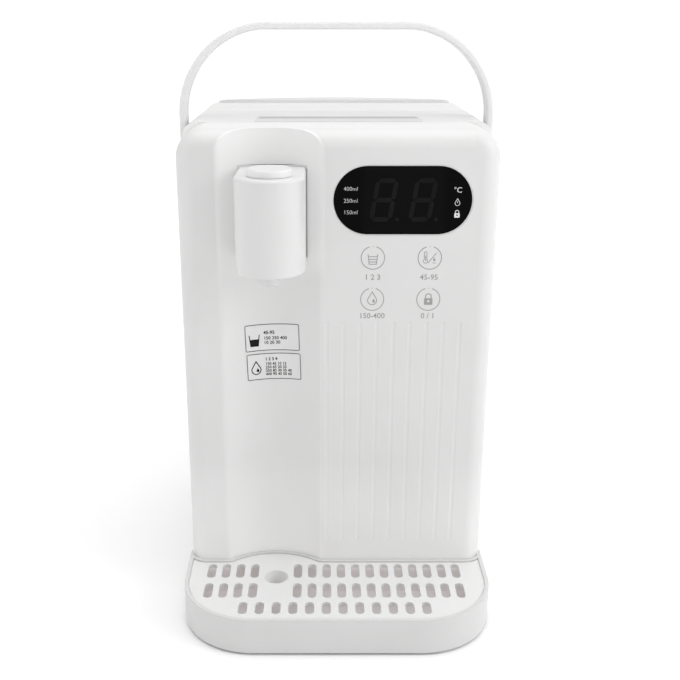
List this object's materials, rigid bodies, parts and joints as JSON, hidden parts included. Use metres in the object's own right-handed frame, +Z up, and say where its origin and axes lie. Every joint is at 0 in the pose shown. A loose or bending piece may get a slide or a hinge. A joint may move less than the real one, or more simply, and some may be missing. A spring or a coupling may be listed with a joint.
{
  "type": "instant hot water dispenser",
  "caption": "White worktop hot water dispenser with a swinging carry handle, scooped cup bay, spout, dark display, slotted drip tray and lift-out rear tank with a hinged lid.",
  "frame": {"origin": "on the table under the middle of the whole outline", "axes": "+Z up, the front with the spout and display faces -Y, +X towards the side with the display"},
  "size_m": [0.2012, 0.284, 0.361],
  "materials": {
    "white_abs": "fine satin moulding",
    "white_gloss": "smooth moulding",
    "black_gloss": "glossy window",
    "frosted_tank": "frosted translucent",
    "black_plastic": "moulded",
    "silicone": "soft, milky",
    "rubber": "matt",
    "steel": "drawn",
    "board": "lacquered board"
  },
  "bodies": {
    "body": {"front_panel": "white_abs", "main_housing": "white_abs", "base_pan": "white_abs", "tank_dock": "white_abs", "handle_pins": "white_abs", "spout_housing": "white_gloss", "spout_gasket": "rubber", "spout_cap": "white_gloss", "spout_nozzle": "white_gloss", "outlet_pipe": "silicone", "display_window": "black_gloss", "digit_module": "black_plastic", "display_board": "board", "touch_springs": "steel", "dock_coupling": "black_plastic", "coupling_seal": "rubber", "pump_mount": "rubber", "pump_head": "black_plastic", "pump_motor": "steel", "flow_meter": "black_plastic", "flow_heater": "steel", "heater_caps": "black_plastic", "heater_clamps": "steel", "thermal_cutout": "black_plastic", "temperature_sensors": "steel", "tank_hose": "silicone", "pump_hose": "silicone", "heater_hose": "silicone", "outlet_hose": "silicone", "power_board": "board", "board_components": "black_plastic", "cord_gland": "rubber", "rubber_feet": "rubber", "case_screws": "steel"},
    "handle": {"handle_bail": "white_abs"},
    "tray": {"drip_tray": "white_abs"},
    "grate": {"drip_grate": "white_abs"},
    "tank": {"water_tank": "frosted_tank", "lid_hinge_pin": "steel", "valve_body": "black_plastic", "valve_spring": "steel", "tank_strainer": "white_abs"},
    "lid": {"tank_lid": "white_abs", "lid_seal": "silicone"},
    "poppet": {"valve_poppet": "silicone"}
  },
  "joints": [
    {"name": "handle_swing", "type": "hinge", "parent": "body", "child": "handle", "pos_m": [0, 0.006, 0.266], "axis": [1, 0, 0], "range_deg": [-10, 48]},
    {"name": "tray_slide", "type": "slide", "parent": "body", "child": "tray", "axis": [0, -1, 0], "range_m": [0, 0.03]},
    {"name": "grate_lift", "type": "slide", "parent": "tray", "child": "grate", "axis": [0, 0, 1], "range_m": [0, 0.03]},
    {"name": "tank_lift", "type": "slide", "parent": "body", "child": "tank", "axis": [0, 0, 1], "range_m": [0, 0.06]},
    {"name": "lid_hinge", "type": "hinge", "parent": "tank", "child": "lid", "pos_m": [0, 0.112, 0.3005], "axis": [-1, 0, 0], "range_deg": [0, 95]},
    {"name": "valve_close", "type": "slide", "parent": "tank", "child": "poppet", "axis": [0, 0, -1], "range_m": [0, 0.0027], "deforming": ["valve_spring"]}
  ],
  "couplings": [
    {"joint": "valve_close", "follows": "tank_lift", "ratio": 0.045}
  ]
}
